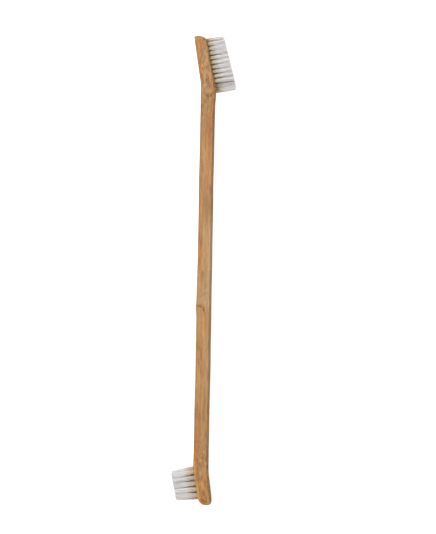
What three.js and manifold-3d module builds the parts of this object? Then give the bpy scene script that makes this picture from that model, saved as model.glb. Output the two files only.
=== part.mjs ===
// A double-ended pet toothbrush: one bamboo handle with a large head at one end and a small head at
// the other, and a field of nylon tufts set in blind holes in each head.
//
// It lies on its side. +Y runs towards the large head, whose tufts point to +X. The small head's
// tufts point to -X. Z runs across the width of the heads. All sizes are in millimetres and all
// angles in degrees.

import * as THREE from 'three';
import { mergeVertices } from 'three/addons/utils/BufferGeometryUtils.js';
import Module from 'manifold-3d';

const wasm = await Module();
wasm.setup();

const overallLength = 220;

const handle = {
  width: 8.5,           // across Z, at the middle of the handle
  edgeRadius: 1.2,
  stationSpacing: 12,   // between the cross-sections of the plain middle stretch
};

// In a head, "along" is the distance from the head's own end and "out" is the distance from the
// handle's axis towards the tufts.
const largeHead = {
  name: 'large',
  end: 1,               // +1 is the +Y end
  side: 1,              // +1 is the +X side, where the tufts stand
  width: 11.4,
  tipLength: 5,         // the rounded end, seen from the face
  tipFlat: 2.4,         // its flat, across Z
  backNose: { length: 0.5, drop: 0.5 },
  faceNose: { length: 2.4, drop: 3 },
  backTilt: 9.4,
  backLength: 22,       // from the end to where the back runs into the handle
  faceTilt: 11.3,
  faceRise: 0.45,       // the face's foot stands this far proud of the handle
  faceFade: 6,          // and runs into it over this length
  faceEdgeRadius: 0.7,
  neckThickness: 6.8,   // along X
  neckWidth: 7,         // across Z
  neckLength: 16,
  holeRadius: 0.8,
  holeDepth: 4,
  columns: [{ first: 1, count: 9 }, { first: 0, count: 12 }, { first: 0, count: 12 }, { first: 1, count: 9 }],
  columnPitch: 2.3,
  rowPitch: 2.14,
  firstRow: 2,          // from the end to the first row's hole
  leanAtTip: 9,         // tufts lean towards the head's end
  leanAtNeck: 11,
  tuftHeight: 8.5,      // at the first row
  tipGap: 0.28,         // between neighbouring tufts at their tips, where the bristles spread
  trimTilt: 14.7,
};

const smallHead = {
  name: 'small',
  end: -1,
  side: -1,
  width: 9.6,
  tipLength: 4.4,
  tipFlat: 1.8,
  backNose: { length: 3.2, drop: 2.4 },
  faceNose: { length: 4.5, drop: 3 },
  backTilt: 8,
  backLength: 15,
  faceTilt: 9.4,
  faceRise: 0.25,
  faceFade: 5,
  faceEdgeRadius: 0.7,
  neckThickness: 7.1,
  neckWidth: 7.2,
  neckLength: 12,
  holeRadius: 1,
  holeDepth: 4.2,
  columns: [{ first: 0.5, count: 5 }, { first: 0, count: 6 }, { first: 0.5, count: 5 }],
  columnPitch: 2.6,
  rowPitch: 2.72,
  firstRow: 3.65,
  leanAtTip: 3,
  leanAtNeck: 14,
  tuftHeight: 10.3,
  tipGap: 0.18,
  trimTilt: 11.7,
};

const holeClearance = 0.12;  // around a tuft in its hole
const floorGap = 0.3;        // under a tuft, above its hole's floor
const wallMargin = 0.2;      // wood kept between the last hole and the foot of the face
const holeSides = 12;
const cornerSteps = 3;       // straight steps in each rounded corner of a cross-section
const tipStations = 7;       // cross-sections in a head's rounded end
const headStationSpacing = 3;

const { clamp, degToRad, lerp, smoothstep } = THREE.MathUtils;

const bamboo = new THREE.MeshStandardMaterial({ name: 'bamboo', color: 0xbf9464, roughness: 0.6, metalness: 0 });
const nylon = new THREE.MeshStandardMaterial({ name: 'nylon', color: 0xe4e0da, roughness: 0.45, metalness: 0 });

function tiltSlope(angle) {
  return Math.tan(degToRad(angle));
}

function lastRow(head) {
  const rows = head.columns.map((column) => column.first + column.count - 1);
  return head.firstRow + Math.max(...rows) * head.rowPitch;
}

function fieldEnd(head) {
  return lastRow(head) + head.holeRadius + wallMargin;
}

function neckEnd(head) {
  return fieldEnd(head) + head.neckLength;
}

// The quarter-ellipse that rounds an edge off towards a head's end
function noseDrop(nose, along) {
  const left = clamp((nose.length - along) / nose.length, 0, 1);
  return nose.drop * (1 - Math.sqrt(1 - left * left));
}

// The tufts' side of a head: a tilted plane that runs into the handle
function faceOut(head, along) {
  const foot = head.neckThickness / 2 + head.faceRise;
  if (along > fieldEnd(head)) {
    return foot - head.faceRise * smoothstep(along, fieldEnd(head), fieldEnd(head) + head.faceFade);
  }
  return foot - tiltSlope(head.faceTilt) * (fieldEnd(head) - along) - noseDrop(head.faceNose, along);
}

// The back of a head: a tilted plane that meets the handle at backLength
function backOut(head, along) {
  const rise = tiltSlope(head.backTilt) * Math.max(0, head.backLength - along);
  return -head.neckThickness / 2 - rise + noseDrop(head.backNose, along);
}

function halfWidth(head, along) {
  const left = clamp((head.tipLength - along) / head.tipLength, 0, 1);
  const rounded = lerp(head.tipFlat, head.width, Math.sqrt(1 - left * left)) / 2;
  const neck = smoothstep(along, lastRow(head) - 2 * head.rowPitch, neckEnd(head));
  const middle = smoothstep(along, neckEnd(head), overallLength / 2);
  return lerp(lerp(rounded, head.neckWidth / 2, neck), handle.width / 2, middle);
}

// A cross-section of one half of the handle, as a closed ring of points that starts on the +X side
// and turns towards +Z
function sectionRing(head, along) {
  const half = halfWidth(head, along);
  const back = backOut(head, along);
  const face = faceOut(head, along);
  const limit = 0.45 * Math.min(face - back, 2 * half);
  const ofHandle = smoothstep(along, fieldEnd(head), neckEnd(head));
  const faceRadius = Math.min(lerp(head.faceEdgeRadius, handle.edgeRadius, ofHandle), limit);
  const backRadius = Math.min(handle.edgeRadius, limit);
  const corners = [
    { out: face - faceRadius, z: half - faceRadius, radius: faceRadius, from: 0 },
    { out: back + backRadius, z: half - backRadius, radius: backRadius, from: 90 },
    { out: back + backRadius, z: backRadius - half, radius: backRadius, from: 180 },
    { out: face - faceRadius, z: faceRadius - half, radius: faceRadius, from: 270 },
  ];
  const y = head.end * (overallLength / 2 - along);
  const ring = corners.flatMap(({ out, z, radius, from }) =>
    Array.from({ length: cornerSteps + 1 }, (_, step) => {
      const angle = degToRad(from + (90 * step) / cornerSteps);
      const x = head.side * (out + radius * Math.cos(angle));
      return new THREE.Vector3(x, y, z + radius * Math.sin(angle));
    }));
  // the ring starts at the face, so on the -X side it is turned round to run the same way
  return head.side > 0 ? ring : reorder(ring);
}

// Turns a mirrored ring back to the order and the starting corner of the others
function reorder(ring) {
  const half = ring.length / 2;
  const reversed = [...ring].reverse();
  return [...reversed.slice(half), ...reversed.slice(0, half)];
}

function stationsOf(head) {
  const stations = [];
  for (let step = 0; step <= tipStations; step += 1) {
    stations.push(head.tipLength * (1 - Math.cos((step / tipStations) * (Math.PI / 2))));
  }
  const headSteps = Math.ceil((neckEnd(head) - head.tipLength) / headStationSpacing);
  for (let step = 1; step <= headSteps; step += 1) {
    stations.push(lerp(head.tipLength, neckEnd(head), step / headSteps));
  }
  const middleSteps = Math.ceil((overallLength / 2 - neckEnd(head)) / handle.stationSpacing);
  for (let step = 1; step < middleSteps; step += 1) {
    stations.push(lerp(neckEnd(head), overallLength / 2, step / middleSteps));
  }
  return stations;
}

// A closed skin over a row of rings
function loft(rings) {
  const sides = rings[0].length;
  const points = rings.flat();
  const triangles = [];
  for (let ring = 0; ring < rings.length - 1; ring += 1) {
    for (let side = 0; side < sides; side += 1) {
      const near = ring * sides + side;
      const next = ring * sides + ((side + 1) % sides);
      triangles.push(near, near + sides, next, next, near + sides, next + sides);
    }
  }
  const last = (rings.length - 1) * sides;
  for (let side = 1; side < sides - 1; side += 1) {
    triangles.push(0, side, side + 1);
    triangles.push(last, last + side + 1, last + side);
  }
  const geometry = new THREE.BufferGeometry().setFromPoints(points);
  geometry.setIndex(triangles);
  return geometry;
}

function toSolid(geometry) {
  const bare = geometry.clone();
  bare.deleteAttribute('normal');
  bare.deleteAttribute('uv');
  const merged = mergeVertices(bare, 1e-4);
  const vertProperties = new Float32Array(merged.attributes.position.array);
  const triVerts = new Uint32Array(merged.index.array);
  return new wasm.Manifold(new wasm.Mesh({ numProp: 3, vertProperties, triVerts }));
}

function toGeometry(solid) {
  const { vertProperties, triVerts } = solid.getMesh();
  const geometry = new THREE.BufferGeometry();
  geometry.setAttribute('position', new THREE.BufferAttribute(vertProperties, 3));
  geometry.setIndex(new THREE.BufferAttribute(triVerts, 1));
  geometry.computeVertexNormals();
  return geometry;
}

// Where each tuft of a head stands: its foot on the face, its direction and its length to the trim
function tuftPlaces(head) {
  const trimAtFirstRow = faceOut(head, head.firstRow) + head.tuftHeight;
  const slope = tiltSlope(head.trimTilt);
  const fieldLength = lastRow(head) - head.firstRow;
  return head.columns.flatMap((column, columnIndex) =>
    Array.from({ length: column.count }, (_, index) => {
      const along = head.firstRow + (column.first + index) * head.rowPitch;
      const lean = degToRad(lerp(head.leanAtTip, head.leanAtNeck, (along - head.firstRow) / fieldLength));
      const foot = faceOut(head, along);
      const trim = trimAtFirstRow + slope * (along - head.firstRow);
      return {
        name: `${head.name}_tuft_column${columnIndex + 1}_row${String(index + 1).padStart(2, '0')}`,
        position: new THREE.Vector3(
          head.side * foot,
          head.end * (overallLength / 2 - along),
          (columnIndex - (head.columns.length - 1) / 2) * head.columnPitch,
        ),
        direction: new THREE.Vector3(head.side * Math.cos(lean), head.end * Math.sin(lean), 0),
        length: (trim - foot) / (Math.cos(lean) + slope * Math.sin(lean)),
      };
    }));
}

// Turns a shape that stands along +Y into a tuft's direction at its foot
function standAt(geometry, place) {
  const up = new THREE.Vector3(0, 1, 0);
  const turn = new THREE.Quaternion().setFromUnitVectors(up, place.direction);
  return geometry.applyQuaternion(turn).translate(...place.position);
}

function holeSolid(head, place) {
  const mouth = head.faceRise + head.holeRadius;
  const profile = [
    new THREE.Vector2(0, -head.holeDepth),
    new THREE.Vector2(head.holeRadius, -head.holeDepth),
    new THREE.Vector2(head.holeRadius, mouth),
    new THREE.Vector2(0, mouth),
  ];
  return toSolid(standAt(new THREE.LatheGeometry(profile, holeSides), place));
}

// How far a tuft's bristles spread before they come near the next tuft's
function tipRadius(head, places) {
  const tips = places.map((place) => place.position.clone().addScaledVector(place.direction, place.length));
  const spacings = tips.slice(1).map((tip) => tip.distanceTo(tips[0]));
  return (Math.min(...spacings) - head.tipGap) / 2;
}

// A bundle of bristles as one solid: straight in its hole and spread towards its tip
function makeTuft(head, place, radiusAtTip) {
  const hole = head.holeRadius - holeClearance;
  const profile = [
    new THREE.Vector2(0, floorGap - head.holeDepth),
    new THREE.Vector2(hole, floorGap - head.holeDepth),
    new THREE.Vector2(hole, 0),
    new THREE.Vector2(radiusAtTip, place.length),
    new THREE.Vector2(0, place.length),
  ];
  const geometry = standAt(new THREE.LatheGeometry(profile, holeSides), place);
  const mesh = new THREE.Mesh(geometry, nylon);
  mesh.name = place.name;
  return mesh;
}

function makeHandle(placesByHead) {
  const fromLarge = stationsOf(largeHead).map((along) => sectionRing(largeHead, along));
  const fromSmall = stationsOf(smallHead).map((along) => sectionRing(smallHead, along));
  let solid = toSolid(loft([...fromSmall, ...fromLarge.reverse()]));
  for (const [head, places] of placesByHead) {
    for (const place of places) {
      solid = solid.subtract(holeSolid(head, place));
    }
  }
  const mesh = new THREE.Mesh(toGeometry(solid), bamboo);
  mesh.name = 'handle';
  return mesh;
}

// The origin is on the surface the brush lies on, under the middle of its box
function standOnSurface(group) {
  const box = new THREE.Box3().setFromObject(group, true);
  const middle = box.getCenter(new THREE.Vector3());
  group.position.set(-middle.x, -middle.y, -box.min.z);
}

const brush = new THREE.Group();
brush.name = 'pet_toothbrush';
const placesByHead = [largeHead, smallHead].map((head) => [head, tuftPlaces(head)]);
brush.add(makeHandle(placesByHead));
for (const [head, places] of placesByHead) {
  const radiusAtTip = tipRadius(head, places);
  for (const place of places) {
    brush.add(makeTuft(head, place, radiusAtTip));
  }
}
standOnSurface(brush);

export default brush;
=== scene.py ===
import math
import random
from functools import partial

import bpy
import numpy as np
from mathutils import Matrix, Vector
from mathutils.bvhtree import BVHTree


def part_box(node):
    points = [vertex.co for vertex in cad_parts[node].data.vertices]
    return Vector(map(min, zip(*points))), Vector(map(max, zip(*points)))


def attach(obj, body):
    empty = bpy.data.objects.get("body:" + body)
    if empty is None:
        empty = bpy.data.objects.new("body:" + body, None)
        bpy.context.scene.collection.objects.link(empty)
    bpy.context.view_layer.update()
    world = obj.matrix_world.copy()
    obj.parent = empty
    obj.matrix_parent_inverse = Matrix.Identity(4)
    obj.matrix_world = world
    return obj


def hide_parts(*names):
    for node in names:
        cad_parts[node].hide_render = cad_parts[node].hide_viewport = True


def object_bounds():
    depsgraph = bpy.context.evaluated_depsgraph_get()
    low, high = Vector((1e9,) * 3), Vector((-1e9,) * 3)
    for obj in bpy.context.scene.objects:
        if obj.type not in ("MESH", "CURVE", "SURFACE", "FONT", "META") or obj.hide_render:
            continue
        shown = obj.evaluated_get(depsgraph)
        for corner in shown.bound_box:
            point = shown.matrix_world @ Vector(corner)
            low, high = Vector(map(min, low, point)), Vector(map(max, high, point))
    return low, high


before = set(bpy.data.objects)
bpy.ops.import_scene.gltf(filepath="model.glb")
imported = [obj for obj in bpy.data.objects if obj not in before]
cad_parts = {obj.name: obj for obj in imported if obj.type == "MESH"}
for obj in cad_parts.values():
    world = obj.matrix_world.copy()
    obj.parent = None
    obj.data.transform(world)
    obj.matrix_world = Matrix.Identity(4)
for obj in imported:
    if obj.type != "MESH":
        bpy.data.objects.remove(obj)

cadBox = [list(corner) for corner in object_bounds()]
mm = 0.001
noiseLow, noiseHigh = 0.3, 0.7    # nearly all of a noise pattern lies between these
widthways = np.array([0.0, 0.0, 1.0])
random.seed(7)


def deselectAll():
    if bpy.context.mode != "OBJECT":
        bpy.ops.object.mode_set(mode="OBJECT")
    bpy.ops.object.select_all(action="DESELECT")


def makeActive(piece):
    deselectAll()
    piece.select_set(True)
    bpy.context.view_layer.objects.active = piece


# One piece out of several, with its turn and size applied to its mesh
def joinPieces(pieces):
    deselectAll()
    for piece in pieces:
        piece.select_set(True)
    bpy.context.view_layer.objects.active = pieces[0]
    bpy.ops.object.join()
    bpy.ops.object.transform_apply(location=True, rotation=True, scale=True)
    return bpy.context.object


# Adds a modifier with its settings and applies it
def applyModifier(piece, kind, **settings):
    makeActive(piece)
    bpy.ops.object.modifier_add(type=kind)
    modifier = piece.modifiers[-1]
    for name, value in settings.items():
        setattr(modifier, name, value)
    bpy.ops.object.modifier_apply(modifier=modifier.name)


# Gives a piece its name, material and body, and hides the CAD nodes that it stands for; the slot is not
# used
def finishPiece(piece, name, material, slot, *nodes):
    piece.name = name
    piece.data.name = name
    piece.data.materials.clear()
    piece.data.materials.append(material)
    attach(piece, "root")
    if nodes:
        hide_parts(*nodes)


# A hex colour as the linear red, green, blue and alpha that shaders take
def toLinear(hexColour):
    channels = [int(hexColour[i:i + 2], 16) / 255 for i in (1, 3, 5)]
    return [c / 12.92 if c <= 0.04045 else ((c + 0.055) / 1.055) ** 2.4 for c in channels] + [1]


# Adds a node with its settings and links. Inputs go by name or number, and each is a number, a colour
# or another node's output. Stops are the places and colours of a ramp, in order.
def addNode(tree, kind, inputs, output=0, stops=(), **settings):
    node = tree.nodes.new("ShaderNode" + kind)
    for name, value in settings.items():
        setattr(node, name, value)
    for name, value in inputs.items():
        if isinstance(value, bpy.types.NodeSocket):
            tree.links.new(value, node.inputs[name])
        else:
            node.inputs[name].default_value = value
    for count, (place, colour) in enumerate(stops):
        elements = node.color_ramp.elements
        stop = elements[count] if count < 2 else elements.new(place)
        stop.position = place
        stop.color = toLinear(colour)
    return node.outputs[output] if node.outputs else None


# An empty material, and addNode for its tree
def startMaterial(name):
    material = bpy.data.materials.new(name)
    material.use_nodes = True
    material.node_tree.nodes.clear()
    return material, partial(addNode, material.node_tree)


# Object coordinates in cells of the given size, in millimetres
def patternPlace(add, cell, shift=(0, 0, 0)):
    scale = [1 / (size * mm) for size in cell]
    return add("Mapping", {"Vector": add("TexCoord", {}, "Object"), "Location": shift, "Scale": scale})


bambooLook = {
    "bandTones": [(0.36, "#A8733B"), (0.5, "#A37D4D"), (0.66, "#9E8560")],   # warm, plain and pale
    "awayFromNode": "#F2E6CE",      # multiplies the ground, far from the node: browner there
    "nodeReach": (12, 75),          # mm from the node, where that begins and where it is complete
    "bundle": "#6A3816",            # the brown fibre bundles
    "crease": "#824711",
    "streak": "#A3661F",
    "paintedEdgeHighlight": (1.17, 1.3, 1.52),  # painted highlight, for each channel, on the chamfers beside the small head's tufts
    "paintedEdgeShade": (0.8, 0.77, 0.71),  # painted shade, for each channel, on the other chamfers
    "bands": (3.4, 60, 3.4),        # mm across, along and across the fibres, for each pattern's cells
    "clouds": (5, 12, 5),
    "lines": (0.95, 20, 0.95),
    "fibres": (0.45, 12, 0.45),
    "pores": (0.15, 2.8, 0.15),
    "mottle": (1.2, 2.6, 1.2),
    "tint": (0.85, 1, 1.5),         # dark patches are browner: how much each channel follows a pattern
    "stickDash": (1.5, 9, 1.5),     # long dashes, where the cut runs along the bundles
    "headDash": (1.15, 2.7, 1.15),  # short ones, where the heads' slopes cut across them
    "stickDashStrength": 0.34,
    "headDashStrength": 0.62,
    "headReach": 24 * mm,           # the short dashes fade in over this length of the neck
    "dashEdge": (0.52, 0.16),       # a dash's rim and heart, as shares of its cell
    "patches": (4, 16, 4),          # the dashes come and go in patches of this size
    "patchEdge": (0.34, 0.56),      # the noise values where they begin to show and show in full
    "poreEdge": (0.35, 0.65),       # the pores break the dashes up: between these noise values
    "poreBreaks": (1.45, 0.55),     # a dash's strength falls from the first of these to the second
    "poreHeight": 0.6,              # in the grooves' relief, where the fibres count as 1
    "bundleHeight": -0.8,
    "creaseHeight": -1.5,
    "grooveDepth": 0.08 * mm,
    "grooveStrength": 0.3,
    "roughness": (0.46, 0.62),
    "ior": 1.48,
    "wobble": 0.6 * mm,             # how far noise bends the marks at the node
    "wobbleCell": (1.2, 2, 1.2),
    "markEdge": (1.0, 0.2),         # a mark's rim and heart, as shares of its half size
    # the marks at the culm's node: place across and along, turn in degrees, half width and half
    # length, colour and strength, in mm from the corner of the crease
    "nodeMarks": [
        (-1.5, 5.2, -52, 0.5, 2.2, "bundle", 0.3),
        (0.5, 6.7, -72, 0.5, 2.4, "bundle", 0.34),
        (-0.4, 3.4, -66, 0.4, 2.4, "bundle", 0.16),
        (-1.5, 1.5, 88, 0.45, 2.0, "bundle", 0.3),
        (0.0, 0.2, 0, 1.8, 1.6, "streak", 0.45),
        (-1.9, 0.55, 73, 0.85, 2.5, "crease", 0.85),
        (0.1, -1.0, 4, 0.8, 1.8, "crease", 1.0),
        (0.5, -2.6, 8, 0.7, 2.4, "streak", 0.9),
        (0.7, -8.0, 1, 0.7, 9.0, "streak", 0.75),
    ],
}


# The wood between the bundles: broad warm and pale bands along the fibres, clouds, and fine lines
# that turn to a short mottle at the heads
def addGround(add, look, onStick, nearHead, fromNode):
    bands = add("TexNoise", {"Vector": patternPlace(add, look["bands"]), "Scale": 1, "Detail": 3})
    colour = add("ValToRGB", {0: bands}, stops=look["bandTones"])
    nearest, furthest = look["nodeReach"]
    away = add("MapRange", {0: fromNode, 1: nearest * mm, 2: furthest * mm},
               interpolation_type="SMOOTHSTEP")
    browner = toLinear(look["awayFromNode"])
    colour = add("Mix", {0: away, 6: colour, 7: browner}, 2, data_type="RGBA", blend_type="MULTIPLY")
    patterns = {}
    # each pattern's shift in cells, its detail, where it shows and its contrast
    for name, shift, detail, where, contrast in (
            ("clouds", (3, 5, 1), 2, 1.0, 0.1),
            ("lines", (8, 3, 2), 2, onStick, 0.18),
            ("fibres", (0, 0, 0), 3, 1.0, 0.13),
            ("pores", (6, 1, 3), 2, 1.0, 0.22),
            ("mottle", (1, 9, 4), 2, nearHead, 0.3)):
        place = patternPlace(add, look[name], shift)
        patterns[name] = add("TexNoise", {"Vector": place, "Scale": 1, "Detail": detail})
        darkest = [1 - contrast * share for share in look["tint"]]
        lightest = [1 + contrast * share for share in look["tint"]]
        shade = add("MapRange", {
            6: patterns[name], 7: [noiseLow] * 3, 8: [noiseHigh] * 3, 9: darkest, 10: lightest},
            1, data_type="FLOAT_VECTOR")
        colour = add("Mix", {0: where, 6: colour, 7: shade}, 2, data_type="RGBA", blend_type="MULTIPLY")
    return colour, patterns["fibres"], patterns["pores"]


# The fibre bundles, as dashes broken up by the pores: long on the stick and short at the heads
def addBundles(add, look, colour, pores, onStick, nearHead):
    place = patternPlace(add, look["patches"], (9, 2, 6))
    patches = add("TexNoise", {"Vector": place, "Scale": 1, "Detail": 1})
    none, full = look["patchEdge"]
    patches = add("MapRange", {0: patches, 1: none, 2: full})
    rim, heart = look["dashEdge"]
    dark = 0.0
    for cell, where, strength in (
            (look["stickDash"], onStick, look["stickDashStrength"]),
            (look["headDash"], nearHead, look["headDashStrength"])):
        place = patternPlace(add, cell, (2, 7, 4))
        cells = add("TexVoronoi", {"Vector": place, "Scale": 1, "Randomness": 0.9})
        dash = add("MapRange", {0: cells, 1: rim, 2: heart}, interpolation_type="SMOOTHSTEP")
        dash = add("Math", {0: dash, 1: where}, operation="MULTIPLY")
        dash = add("Math", {0: dash, 1: patches}, operation="MULTIPLY")
        dark = add("Math", {0: dash, 1: strength, 2: dark}, operation="MULTIPLY_ADD")
    low, high = look["poreEdge"]
    strongest, weakest = look["poreBreaks"]
    broken = add("MapRange", {0: pores, 1: low, 2: high, 3: strongest, 4: weakest})
    dark = add("Math", {0: dark, 1: broken}, operation="MULTIPLY", use_clamp=True)
    colour = add("Mix", {0: dark, 6: colour, 7: toLinear(look["bundle"])}, 2, data_type="RGBA")
    return colour, dark


# The culm's node: a short hooked crease, faint arcs above it and a warm streak below it
def addNodeMarks(add, look, colour, corner):
    place = patternPlace(add, look["wobbleCell"])
    wobble = add("TexNoise", {"Vector": place, "Scale": 1, "Detail": 1}, "Color")
    place = add("VectorMath", {0: wobble, 1: [look["wobble"]] * 3, 2: add("TexCoord", {}, "Object")},
                operation="MULTIPLY_ADD")
    drift = look["wobble"] / 2      # noise is 0.5 on average, so it moves every mark by this much
    rim, heart = look["markEdge"]
    crease = 0.0
    for across, along, turn, halfWidth, halfLength, tone, strength in look["nodeMarks"]:
        inMark = add("Mapping", {
            "Vector": place,
            "Location": (corner[0] + across * mm + drift, corner[1] + along * mm + drift, 0),
            "Rotation": (0, 0, math.radians(turn)),
            "Scale": (halfWidth * mm, halfLength * mm, 1)}, vector_type="TEXTURE")
        distance = add("VectorMath", {0: inMark}, "Value", operation="LENGTH")
        mark = add("MapRange", {0: distance, 1: rim, 2: heart, 4: strength},
                   interpolation_type="SMOOTHSTEP")
        colour = add("Mix", {0: mark, 6: colour, 7: toLinear(look[tone])}, 2, data_type="RGBA")
        if tone == "crease":
            crease = add("Math", {0: mark, 1: crease}, operation="MAXIMUM")
    return colour, crease


# Bamboo, sawn from the culm's wall, sanded and thinly waxed: straw-brown wood with brown fibre bundles
# that run the stick's whole length, satin, with fine grooves along the fibres
def makeBamboo(spots):
    look = bambooLook
    material, add = startMaterial("bambooSandedWaxed")
    y = add("SeparateXYZ", {0: add("TexCoord", {}, "Object")}, "Y")
    fromMiddle = add("Math", {0: y, 1: spots["middle"]}, operation="SUBTRACT")
    fromMiddle = add("Math", {0: fromMiddle}, operation="ABSOLUTE")
    nearHead = add("MapRange", {0: fromMiddle, 1: spots["reach"] - look["headReach"], 2: spots["reach"]},
                   interpolation_type="SMOOTHSTEP")
    onStick = add("Math", {0: 1.0, 1: nearHead}, operation="SUBTRACT")
    fromNode = add("Math", {0: y, 1: spots["nodeCorner"][1]}, operation="SUBTRACT")
    fromNode = add("Math", {0: fromNode}, operation="ABSOLUTE")
    colour, fibres, pores = addGround(add, look, onStick, nearHead, fromNode)
    colour, dark = addBundles(add, look, colour, pores, onStick, nearHead)
    colour, crease = addNodeMarks(add, look, colour, spots["nodeCorner"])
    paintedEdgeShading = add("Attribute", {}, "Fac", attribute_name="paintedEdgeShading")
    # the attribute runs from -1, a painted highlight, through 0, plain, to 1, painted shade
    for end, tone in ((-1.0, "paintedEdgeHighlight"), (1.0, "paintedEdgeShade")):
        shade = add("MapRange", {6: paintedEdgeShading, 7: [0.0] * 3, 8: [end] * 3, 9: [1.0] * 3, 10: look[tone]}, 1,
                    data_type="FLOAT_VECTOR")
        colour = add("Mix", {0: 1.0, 6: colour, 7: shade}, 2, data_type="RGBA", blend_type="MULTIPLY")
    height = fibres
    for pattern, amount in ((pores, "poreHeight"), (dark, "bundleHeight"), (crease, "creaseHeight")):
        height = add("Math", {0: pattern, 1: look[amount], 2: height}, operation="MULTIPLY_ADD")
    bump = add("Bump", {
        "Strength": look["grooveStrength"], "Distance": look["grooveDepth"], "Height": height})
    smoothest, roughest = look["roughness"]
    roughness = add("MapRange", {0: fibres, 1: noiseLow, 2: noiseHigh, 3: smoothest, 4: roughest})
    surface = add("BsdfPrincipled", {
        "Base Color": colour, "Roughness": roughness, "Normal": bump, "IOR": look["ior"]})
    add("OutputMaterial", {"Surface": surface})
    return material


bristleLook = {
    "tip": "#F8F5F3",
    "root": "#E2CBA6",            # light from the wood warms the roots
    "rootReach": 0.45,            # the share of the free length where that warmth has faded out
    "roughness": 0.4,
    "ior": 1.53,
    "streaks": (3, 0.3, 0.3),     # mm along and across the filaments
    "streakShade": (0.94, 1.0),
    "through": 0.3,               # the share of the light that goes on through a filament
}


# Nylon 6.12 filaments, drawn, folded over their anchors and trimmed: milky white and satin, with light
# that passes from one filament to the next
def makeNylon():
    look = bristleLook
    material, add = startMaterial("nylonDrawnFilament")
    rise = add("Attribute", {}, "Fac", attribute_name="rise")
    colour = add("ValToRGB", {0: rise}, stops=[(0.0, look["root"]), (look["rootReach"], look["tip"])])
    streaks = add("TexNoise", {"Vector": patternPlace(add, look["streaks"]), "Scale": 1, "Detail": 1})
    darkest, lightest = look["streakShade"]
    shade = add("MapRange", {0: streaks, 1: noiseLow, 2: noiseHigh, 3: darkest, 4: lightest})
    colour = add("Mix", {0: 1.0, 6: colour, 7: shade}, 2, data_type="RGBA", blend_type="MULTIPLY")
    body = add("BsdfPrincipled", {
        "Base Color": colour, "Roughness": look["roughness"], "IOR": look["ior"]})
    through = add("BsdfTranslucent", {"Color": colour})
    surface = add("MixShader", {0: look["through"], 1: body, 2: through})
    add("OutputMaterial", {"Surface": surface})
    return material


anchorLook = {
    "tones": [(0.3, "#A9A7A0"), (0.7, "#B9B7B0")],
    "lines": (0.05, 1.2, 0.05),   # mm across and along the rolling lines
    "roughness": (0.25, 0.42),
}


# Anchor wire, flat-rolled aluminium: bare, with fine rolling lines
def makeAnchorMetal():
    look = anchorLook
    material, add = startMaterial("aluminiumRolledWire")
    lines = add("TexNoise", {"Vector": patternPlace(add, look["lines"]), "Scale": 1, "Detail": 2})
    colour = add("ValToRGB", {0: lines}, stops=look["tones"])
    smoothest, roughest = look["roughness"]
    roughness = add("MapRange", {0: lines, 1: noiseLow, 2: noiseHigh, 3: smoothest, 4: roughest})
    surface = add("BsdfPrincipled", {"Base Color": colour, "Roughness": roughness, "Metallic": 1.0})
    add("OutputMaterial", {"Surface": surface})
    return material


# What the CAD says of one tuft: the middle of its foot, its mouth in the wood and its tip, the way it
# leans, and its radius in the hole and at the tip
def readTuft(name):
    points = np.array([corner.co for corner in bpy.data.objects[name].data.vertices])
    points = np.unique(np.round(points, 7), axis=0)   # the mesh repeats its corners
    side = 1 if points[:, 0].mean() > (handleLow.x + handleHigh.x) / 2 else -1
    depth = points[:, 0] * side
    endReach = 0.9 * mm           # each end ring leans, so its points lie within this depth
    foot = points[depth < depth.min() + endReach]
    tip = points[depth > depth.max() - endReach]
    mouth = points[(depth >= depth.min() + endReach) & (depth <= depth.max() - endReach)]
    footMiddle, mouthMiddle, tipMiddle = (ring.mean(axis=0) for ring in (foot, mouth, tip))
    axis = (tipMiddle - footMiddle) / np.linalg.norm(tipMiddle - footMiddle)
    across = np.cross(widthways, axis)
    return {
        "node": name, "foot": footMiddle, "mouth": mouthMiddle, "tip": tipMiddle, "axis": axis,
        "across": across / np.linalg.norm(across),
        "radius": np.linalg.norm(foot - footMiddle, axis=1).max(),
        "tipRadius": np.linalg.norm(tip - tipMiddle, axis=1).max()}


handleLow, handleHigh = (Vector(corner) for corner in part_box("handle"))
midZ = (handleLow.z + handleHigh.z) / 2
tufts = [readTuft(name) for name in sorted(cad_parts) if "tuft" in name]
largeTufts = [tuft for tuft in tufts if tuft["node"].startswith("large")]
smallTufts = [tuft for tuft in tufts if tuft["node"].startswith("small")]
largeNeck = min(float(tuft["mouth"][1]) for tuft in largeTufts)
smallNeck = max(float(tuft["mouth"][1]) for tuft in smallTufts)
print("tufts read from the CAD:", len(largeTufts), "and", len(smallTufts))


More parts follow.
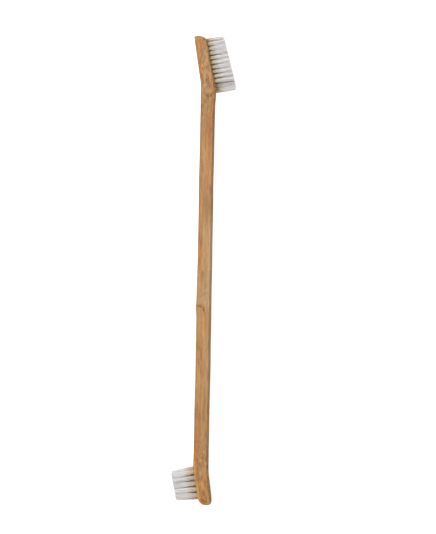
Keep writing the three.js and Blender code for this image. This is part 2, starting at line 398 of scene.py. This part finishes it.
handleShape = {
    "chamfer": 1.15 * mm,         # sanded off every long edge
    "largeFaceEdge": 0.55 * mm,   # and less beside the tufts
    "smallFaceEdge": 0.9 * mm,
    "faceEdgeReach": 8 * mm,      # the change from one to the other takes this length of the neck
    "mostChamfer": 0.3,           # of the handle's thickness or width
    "softEdge": 0.2 * mm,
    "softEdgeAngle": 28,          # degrees; edges sharper than this are softened
    "smoothAngle": 35,            # degrees; blunter edges are shaded smooth
    "paintedHighlightReach": 6 * mm,         # the painted highlight on the small head's face edge fades out over this length of the neck
    "noseLength": 5 * mm,         # the rounded ends get closer sections
    "noseSections": 12,
    "headReach": 46 * mm,         # from each end, sections every headStep
    "headStep": 1.5 * mm,
    "stickStep": 4 * mm,
    "solidEnd": 2.4 * mm,         # the heads have no holes this near to their ends
    "rayStart": 50 * mm,          # the measuring rays start well outside the handle
    "rayInset": 0.01 * mm,        # a ray at the very end would miss it
    "sandingDepth": 0.05 * mm,    # a hand-sanded stick is never quite straight
    "sandingWaves": ((9 * mm, 1, 0), (4.1 * mm, 0.6, 1)),   # length over two pi, share and phase
    "nodePlace": 0.4215,          # the culm's node, as a share of the length from the small end
    "nodeReach": 9 * mm,
    "nodeSections": 19,
    "nodeBulge": 0.32 * mm,
    "nodeWidth": 2.6 * mm,
    "creaseCorner": 0.15 * mm,    # the crease turns here, beside the handle's middle
    "holeSegments": 20,
    "holeClearance": 0.12 * mm,
    "holeFloorGap": 0.3 * mm,
    "drillAbove": 1.5 * mm,       # the drills begin this far above the tufts' mouths
}

cadHandle = BVHTree.FromObject(bpy.data.objects["handle"], bpy.context.evaluated_depsgraph_get())
nodeY = handleLow.y + handleShape["nodePlace"] * (handleHigh.y - handleLow.y)


# The height of the strip of wood between two columns of holes, where a section can be measured
def clearLane(headTufts):
    columns = sorted({round(float(tuft["mouth"][2]), 5) for tuft in headTufts})
    middle = len(columns) // 2
    other = middle - 1 if len(columns) % 2 == 0 else middle + 1
    return (columns[middle] + columns[other]) / 2


# The CAD handle's middle, thickness and width at one place along it, with the node's bulge
def sectionAt(y):
    shape = handleShape
    atEnd = min(y - handleLow.y, handleHigh.y - y) < shape["solidEnd"]
    z = midZ if atEnd else clearLane(largeTufts if y > 0 else smallTufts)
    y = min(max(y, handleLow.y + shape["rayInset"]), handleHigh.y - shape["rayInset"])
    outside = shape["rayStart"]
    left = cadHandle.ray_cast(Vector((-outside, y, z)), Vector((1, 0, 0)))[0].x
    right = cadHandle.ray_cast(Vector((outside, y, z)), Vector((-1, 0, 0)))[0].x
    top = cadHandle.ray_cast(Vector(((left + right) / 2, y, outside)), Vector((0, 0, -1)))[0].z
    left -= shape["nodeBulge"] * math.exp(-((y - nodeY) / shape["nodeWidth"]) ** 2)
    waves = sum(share * math.sin(y / size + phase) for size, share, phase in shape["sandingWaves"])
    return {
        "y": y, "middle": (left + right) / 2 + shape["sandingDepth"] * waves,
        "thickness": right - left, "width": 2 * (top - midZ)}


# Where the sections lie: close together on the rounded ends and at the culm's node
def sectionPlaces():
    shape = handleShape
    noseSteps, headStep, stickStep = shape["noseSections"], shape["headStep"], shape["stickStep"]
    quarter = [math.pi / 2 * count / noseSteps for count in range(noseSteps + 1)]
    fromEnd = [shape["noseLength"] * (1 - math.cos(angle)) for angle in quarter]
    headSteps = round((shape["headReach"] - shape["noseLength"]) / headStep)
    fromEnd += [shape["noseLength"] + count * headStep for count in range(1, headSteps + 1)]
    stickStart, stickEnd = handleLow.y + fromEnd[-1], handleHigh.y - fromEnd[-1]
    stick = np.arange(stickStart + stickStep, stickEnd - stickStep / 2, stickStep)
    stick = [float(y) for y in stick if abs(y - nodeY) > shape["nodeReach"]]
    stick += [float(y) for y in np.linspace(
        nodeY - shape["nodeReach"], nodeY + shape["nodeReach"], shape["nodeSections"])]
    return sorted([handleLow.y + depth for depth in fromEnd] + stick
                  + [handleHigh.y - depth for depth in fromEnd])


# How much is sanded off a long edge at one place along the handle
def edgeSize(y, onFace, section):
    shape = handleShape
    size = shape["chamfer"]
    if onFace:
        neck = largeNeck if y > 0 else smallNeck
        faceEdge = shape["largeFaceEdge"] if y > 0 else shape["smallFaceEdge"]
        intoHead = (y - neck) / shape["faceEdgeReach"] * (1 if y > 0 else -1) + 1
        share = min(max(intoHead, 0), 1)
        size += (faceEdge - size) * share * share * (3 - 2 * share)
    return min(size, shape["mostChamfer"] * min(section["thickness"], section["width"]))


# Marks every long edge of the square blank with the size of its chamfer
def weightEdges(handle, sections):
    mesh = handle.data
    weights = mesh.attributes.new("bevel_weight_edge", "FLOAT", "EDGE")
    for edge in mesh.edges:
        start, end = (mesh.vertices[i].co for i in edge.vertices)
        if abs(start.y - end.y) < 0.001 * mm:
            continue              # an edge across the handle
        middle = (start + end) / 2
        section = min(sections, key=lambda item: abs(item["y"] - middle.y))
        onFace = (middle.x - section["middle"]) * middle.y > 0
        weights.data[edge.index].value = edgeSize(middle.y, onFace, section) / handleShape["chamfer"]


# The handle: a square blank drawn out from section to section, then chamfered, softened and drilled
def makeHandle(material):
    shape = handleShape
    sections = [sectionAt(y) for y in sectionPlaces()]
    first = sections[0]
    deselectAll()
    bpy.ops.mesh.primitive_plane_add(size=1, rotation=(math.pi / 2, 0, 0))
    handle = joinPieces([bpy.context.object])
    bpy.ops.object.mode_set(mode="EDIT")
    bpy.ops.mesh.select_all(action="SELECT")
    bpy.ops.transform.resize(value=(first["thickness"], 1, first["width"]), center_override=(0, 0, 0))
    bpy.ops.transform.translate(value=(first["middle"], first["y"], midZ))
    for before, section in zip(sections, sections[1:]):
        move = (section["middle"] - before["middle"], section["y"] - before["y"], 0)
        bpy.ops.mesh.extrude_region_move(TRANSFORM_OT_translate={"value": move})
        growth = (section["thickness"] / before["thickness"], 1, section["width"] / before["width"])
        bpy.ops.transform.resize(value=growth, center_override=(section["middle"], section["y"], midZ))
    bpy.ops.mesh.select_all(action="SELECT")
    bpy.ops.mesh.normals_make_consistent(inside=False)
    bpy.ops.object.mode_set(mode="OBJECT")
    weightEdges(handle, sections)
    applyModifier(handle, "BEVEL", limit_method="WEIGHT", width=shape["chamfer"], segments=1,
                  use_clamp_overlap=False)
    applyModifier(handle, "BEVEL", limit_method="ANGLE", angle_limit=math.radians(shape["softEdgeAngle"]),
                  width=shape["softEdge"], segments=3, use_clamp_overlap=True)
    drillHoles(handle)
    markPaintedEdgeShading(handle.data)
    finishPiece(handle, "bambooHandle", material, "bamboo", "handle")
    makeActive(handle)
    bpy.ops.object.shade_smooth_by_angle(angle=math.radians(shape["smoothAngle"]))
    applyModifier(handle, "WEIGHTED_NORMAL", keep_sharp=True)
    return handle


# Marks the chamfers for painted light: 1, painted shade, strongest where they lean at 45 degrees,
# and -1, a painted highlight, on those beside the small head's tufts
def markPaintedEdgeShading(mesh):
    normals, centres = np.empty((2, len(mesh.polygons) * 3))
    mesh.polygons.foreach_get("normal", normals)
    mesh.polygons.foreach_get("center", centres)
    normalX, normalZ = normals[::3], normals[2::3]
    amount = np.minimum(1, 2 * np.abs(normalX * normalZ)) ** 2
    highlightShare = (smallNeck + handleShape["paintedHighlightReach"] - centres[1::3]) / handleShape["paintedHighlightReach"]
    amount *= np.where(normalX < 0, 1 - 2 * np.clip(highlightShare, 0, 1), 1)
    paintedEdgeShading = mesh.attributes.new("paintedEdgeShading", "FLOAT", "FACE")
    paintedEdgeShading.data.foreach_set("value", amount)


# A blind hole for each tuft, a little wider and deeper than the CAD tuft
def drillHoles(handle):
    shape = handleShape
    drills = []
    for tuft in tufts:
        axis = Vector(tuft["axis"])
        floor = Vector(tuft["foot"]) - axis * shape["holeFloorGap"]
        above = Vector(tuft["mouth"]) + axis * shape["drillAbove"]
        deselectAll()
        bpy.ops.mesh.primitive_cylinder_add(
            vertices=shape["holeSegments"], radius=tuft["radius"] + shape["holeClearance"],
            depth=(above - floor).length, location=(floor + above) / 2,
            rotation=axis.to_track_quat("Z", "Y").to_euler())
        drills.append(bpy.context.object)
    drill = joinPieces(drills)
    applyModifier(handle, "BOOLEAN", operation="DIFFERENCE", solver="EXACT", object=drill)
    bpy.data.objects.remove(drill, do_unlink=True)


bristleShape = {
    "radius": 0.075 * mm,         # a filament 0.15 mm thick
    "largeHairpins": 46,          # about as many filaments, folded double, stand in each tuft
    "smallHairpins": 64,
    "holeFill": 0.1 * mm,         # the filaments press against the hole, past the CAD tuft's plain side
    "tipSpread": 1.32,            # along the brush they spread until neighbouring tufts mingle
    "outerSpread": 1.0,           # at the field's two ends, outwards
    "tipSpreadAcross": 1.14,
    "fanning": 0.7,               # under 1, they spread soon above the wood
    "innerFanning": 0.2,          # and sooner still in the inner columns
    "endRows": 1.3 * mm,          # the field's end rows lie within this depth of its two ends
    "columnSlack": 0.5 * mm,      # columns further in than this from the outer ones are inner ones
    "tipJitter": 0.09 * mm,
    "lengthJitter": 0.06 * mm,
    "curl": 0.05 * mm,
    "legPlaces": (1.0, 0.6, 0.25, 0.06, 0.0),    # shares of the free length, from tip to mouth
    "plateHalf": 0.15 * mm,       # the filaments keep this far from the anchor's middle
    "plateFloor": 0.75 * mm,      # the anchor's lower edge, above the tuft's foot
    "plateHeight": 1.6 * mm,
    "foldSpan": 0.4,              # the folds take up this share of the room under the anchor
    "cornerTrim": 0.55 * mm,      # the worn corner of the field, at the neck
    "cornerReach": 1.6 * mm,
    "goldenAngle": math.pi * (3 - math.sqrt(5)),
}


# Where a head's bristles are trimmed: a slanted plane, x = start + slope * y, with one worn corner
def readTrim(headTufts):
    tips = np.array([tuft["tip"] for tuft in headTufts])
    slope, start = np.polyfit(tips[:, 1], tips[:, 0], 1)
    towardsNeck = -1 if tips[:, 1].mean() > 0 else 1
    neckTuft = max(headTufts, key=lambda tuft: towardsNeck * tuft["tip"][1])
    corner = neckTuft["tip"][1] + towardsNeck * neckTuft["tipRadius"]
    return {"slope": slope, "start": start, "corner": corner}


# Half a filament, from its tip down beside the anchor; u and v say where it stands in the hole
def legPoints(tuft, trim, spread, u, v):
    shape = bristleShape
    axis, mouth, across = tuft["axis"], tuft["mouth"], tuft["across"]
    outwards = u * across[1] * tuft["fieldEnd"] > 0
    spreadAlong = shape["outerSpread" if outwards else "tipSpread"]
    tipU = u * spread * spreadAlong + random.gauss(0, shape["tipJitter"])
    tipV = v * spread * shape["tipSpreadAcross"] + random.gauss(0, shape["tipJitter"])
    bowU = random.gauss(0, shape["curl"])
    bowV = random.gauss(0, shape["curl"])
    base = mouth + across * tipU + widthways * tipV
    length = (trim["start"] + trim["slope"] * base[1] - base[0]) / (axis[0] - trim["slope"] * axis[1])
    worn = max(0.0, 1 - abs(base[1] + axis[1] * length - trim["corner"]) / shape["cornerReach"])
    length += random.gauss(0, shape["lengthJitter"]) - shape["cornerTrim"] * worn ** 2
    points = []
    for share in shape["legPlaces"]:
        bow = 4 * share * (1 - share)
        fanned = share ** shape["innerFanning" if tuft["inner"] else "fanning"]
        points.append(mouth + axis * length * share
                      + across * (u + (tipU - u) * fanned + bowU * bow)
                      + widthways * (v + (tipV - v) * fanned + bowV * bow))
    clear = math.copysign(max(abs(v), shape["plateHalf"] + shape["radius"]), v)
    depth = np.linalg.norm(mouth - tuft["foot"])
    for lift in (shape["plateFloor"] + shape["plateHeight"], shape["plateFloor"]):
        points.append(mouth - axis * (depth - lift) + across * u + widthways * clear)
    return points


# A filament folded double: down one side of the anchor, under it and up the other side
def hairpinPoints(tuft, trim, spread, u, v):
    shape = bristleShape
    room = shape["foldSpan"] * (shape["plateFloor"] - shape["radius"])
    under = shape["radius"] + room * (1 - v / tuft["radius"])
    fold = tuft["foot"] + tuft["axis"] * max(under, shape["radius"]) + tuft["across"] * u
    return legPoints(tuft, trim, spread, u, v) + [fold] + legPoints(tuft, trim, spread, u, -v)[::-1]


# A tuft's filaments, spread evenly over its hole; those on one side of the anchor fold round to the other
def makeTuft(tuft, hairpins, trim, material):
    shape = bristleShape
    reach = tuft["radius"] + shape["holeFill"] - shape["radius"]
    spread = (tuft["tipRadius"] - shape["radius"]) / reach
    curve = bpy.data.curves.new(tuft["node"] + "_bristles", "CURVE")
    curve.dimensions = "3D"
    curve.bevel_depth = shape["radius"]
    curve.bevel_resolution = 0
    curve.use_fill_caps = True
    turn = random.uniform(0, math.tau)
    for count in range(hairpins * 2):
        radius = reach * math.sqrt((count + 0.5) / (hairpins * 2))
        angle = count * shape["goldenAngle"] + turn
        u, v = radius * math.cos(angle), radius * math.sin(angle)
        if v > 0:
            path = hairpinPoints(tuft, trim, spread, u, v)
            spline = curve.splines.new("POLY")
            spline.points.add(len(path) - 1)
            spline.points.foreach_set("co", np.pad(path, ((0, 0), (0, 1)), constant_values=1).ravel())
    bundle = bpy.data.objects.new(curve.name, curve)
    bpy.context.collection.objects.link(bundle)
    makeActive(bundle)
    bpy.ops.object.convert(target="MESH")
    bpy.ops.object.shade_smooth()
    bundle = bpy.context.object
    addRise(bundle.data, tuft)
    finishPiece(bundle, tuft["node"] + "_bristles", material, "bristle", tuft["node"])


# Each point's height above the wood, as a share of the tuft's free length
def addRise(mesh, tuft):
    points = np.empty(len(mesh.vertices) * 3)
    mesh.vertices.foreach_get("co", points)
    above = (points.reshape(-1, 3) - tuft["mouth"]) @ tuft["axis"]
    rise = mesh.attributes.new("rise", "FLOAT", "POINT")
    rise.data.foreach_set("value", above / np.linalg.norm(tuft["tip"] - tuft["mouth"]))


# All the tufts of one head, trimmed together
def makeHeadBristles(headTufts, hairpins, material):
    trim = readTrim(headTufts)
    places = [tuft["mouth"][1] for tuft in headTufts]
    middle = (min(places) + max(places)) / 2
    reach = (max(places) - min(places)) / 2 - bristleShape["endRows"]
    outerColumn = max(abs(tuft["mouth"][2] - midZ) for tuft in headTufts)
    for tuft in headTufts:
        fromMiddle = tuft["mouth"][1] - middle
        tuft["fieldEnd"] = np.sign(fromMiddle) if abs(fromMiddle) > reach else 0
        tuft["inner"] = abs(tuft["mouth"][2] - midZ) < outerColumn - bristleShape["columnSlack"]
        makeTuft(tuft, hairpins, trim, material)


anchorShape = {
    "thickness": 0.28 * mm,
    "overhang": 0.06 * mm,        # it is driven in past the sides of the tuft
    "edge": 0.05 * mm,
}


# The flat-rolled wire in each fold, one piece for each head
def makeAnchors(headTufts, name, material):
    plates = []
    height = bristleShape["plateHeight"]
    for tuft in headTufts:
        axis = Vector(tuft["axis"])
        middle = Vector(tuft["foot"]) + axis * (bristleShape["plateFloor"] + height / 2)
        turned = axis.to_track_quat("Z", "Y")
        alongBrush = max((0, 1), key=lambda i: abs(turned.to_matrix().col[i].y))
        size = [anchorShape["thickness"], anchorShape["thickness"], height]
        size[alongBrush] = 2 * (tuft["radius"] + anchorShape["overhang"])
        deselectAll()
        bpy.ops.mesh.primitive_cube_add(size=1, location=middle, rotation=turned.to_euler(), scale=size)
        plates.append(bpy.context.object)
    anchors = joinPieces(plates)
    applyModifier(anchors, "BEVEL", width=anchorShape["edge"], segments=2)
    finishPiece(anchors, name, material, "anchor")


studio = {
    "frameHeight": 250.7 * mm,    # what the picture's long side takes in
    "lens": 110,                  # mm
    "sensor": 36,
    "roll": 1.08,                 # degrees
    "aimRight": 6.67 * mm,        # the middle of the view, from the middle of the brush
    "aimUp": 1.64 * mm,
    "clip": (0.01, 10),           # m
    "floorRadius": 3.0,           # m
    "floorSides": 96,
    "wallHeight": 1.0,
    "tableColour": "#8E8D8B",
    "tableCell": (4, 4, 4),       # mm
    "tableRoughness": (0.75, 0.85),
    "tableSpecular": 0.1,
    "tableGlow": 0.95,
    "worldColour": "#F2F4F7",
    "worldStrength": 0.55,
    "keyPower": 7.7,
    "keyPlace": (-0.55, 0.3, 0.75),
    "keySize": 0.75,
    "topPower": 3.0,
    "topPlace": (-0.1, 0.0, 1.1),
    "topSize": 0.8,
}


# A round softbox, turned to the brush
def addSoftbox(name, place, power, size):
    deselectAll()
    turned = (-Vector(place)).to_track_quat("-Z", "Y").to_euler()
    bpy.ops.object.light_add(type="AREA", location=place, rotation=turned)
    lamp = bpy.context.object
    lamp.name = name
    lamp.data.shape = "DISK"
    lamp.data.energy = power
    lamp.data.size = size


# White acrylic, lit from behind: a plain pale surface that shows hardly any shadow
def makeAcrylic():
    material, add = startMaterial("acrylicBacklit")
    grain = add("TexNoise", {"Vector": patternPlace(add, studio["tableCell"]), "Scale": 1, "Detail": 1})
    smoothest, roughest = studio["tableRoughness"]
    roughness = add("MapRange", {0: grain, 1: noiseLow, 2: noiseHigh, 3: smoothest, 4: roughest})
    surface = add("BsdfPrincipled", {
        "Base Color": toLinear(studio["tableColour"]), "Roughness": roughness,
        "Specular IOR Level": studio["tableSpecular"],
        "Emission Color": (1, 1, 1, 1), "Emission Strength": studio["tableGlow"]})
    add("OutputMaterial", {"Surface": surface})
    return material


# A round table top with a low wall of the same acrylic far round it
def makeStage():
    deselectAll()
    bpy.ops.mesh.primitive_circle_add(
        vertices=studio["floorSides"], radius=studio["floorRadius"], fill_type="NGON")
    floor = bpy.context.object
    bpy.ops.object.mode_set(mode="EDIT")
    bpy.ops.mesh.select_mode(type="EDGE")
    bpy.ops.mesh.select_all(action="SELECT")
    bpy.ops.mesh.extrude_edges_move(TRANSFORM_OT_translate={"value": (0, 0, studio["wallHeight"])})
    bpy.ops.object.mode_set(mode="OBJECT")
    floor.name = "studioTable"
    floor.data.materials.append(makeAcrylic())


# The table, a pale sky, a softbox from the left, one from above, and the camera over the brush
def makeStudio():
    makeStage()
    world = bpy.data.worlds.new("studioWorld")
    bpy.context.scene.world = world
    world.use_nodes = True
    background = world.node_tree.nodes["Background"]
    background.inputs["Color"].default_value = toLinear(studio["worldColour"])
    background.inputs["Strength"].default_value = studio["worldStrength"]
    addSoftbox("keySoftbox", studio["keyPlace"], studio["keyPower"], studio["keySize"])
    addSoftbox("topSoftbox", studio["topPlace"], studio["topPower"], studio["topSize"])

    low, high = (Vector(corner) for corner in cadBox)
    centre = (low + high) / 2
    roll = math.radians(studio["roll"])
    right = Vector((math.cos(roll), math.sin(roll), 0))
    up = Vector((-math.sin(roll), math.cos(roll), 0))
    aim = centre + right * studio["aimRight"] + up * studio["aimUp"]
    aim.z += studio["frameHeight"] * studio["lens"] / studio["sensor"]
    deselectAll()
    bpy.ops.object.camera_add(location=aim, rotation=(0, 0, roll))
    camera = bpy.context.object
    camera.data.lens = studio["lens"]
    camera.data.sensor_width = studio["sensor"]
    camera.data.clip_start, camera.data.clip_end = studio["clip"]
    bpy.context.scene.camera = camera
    bpy.context.scene.view_settings.view_transform = "Standard"


makeStudio()
print("studio ready")
bamboo = makeBamboo({
    "middle": (largeNeck + smallNeck) / 2, "reach": (largeNeck - smallNeck) / 2,
    "nodeCorner": (sectionAt(nodeY)["middle"] + handleShape["creaseCorner"], nodeY)})
handle = makeHandle(bamboo)
print("handle made:", len(handle.data.polygons), "faces")
nylon = makeNylon()
makeHeadBristles(largeTufts, bristleShape["largeHairpins"], nylon)
makeHeadBristles(smallTufts, bristleShape["smallHairpins"], nylon)
print("tufts made:", len(tufts))
anchorMetal = makeAnchorMetal()
makeAnchors(largeTufts, "largeHeadAnchors", anchorMetal)
makeAnchors(smallTufts, "smallHeadAnchors", anchorMetal)
print("anchors made")

deselectAll()
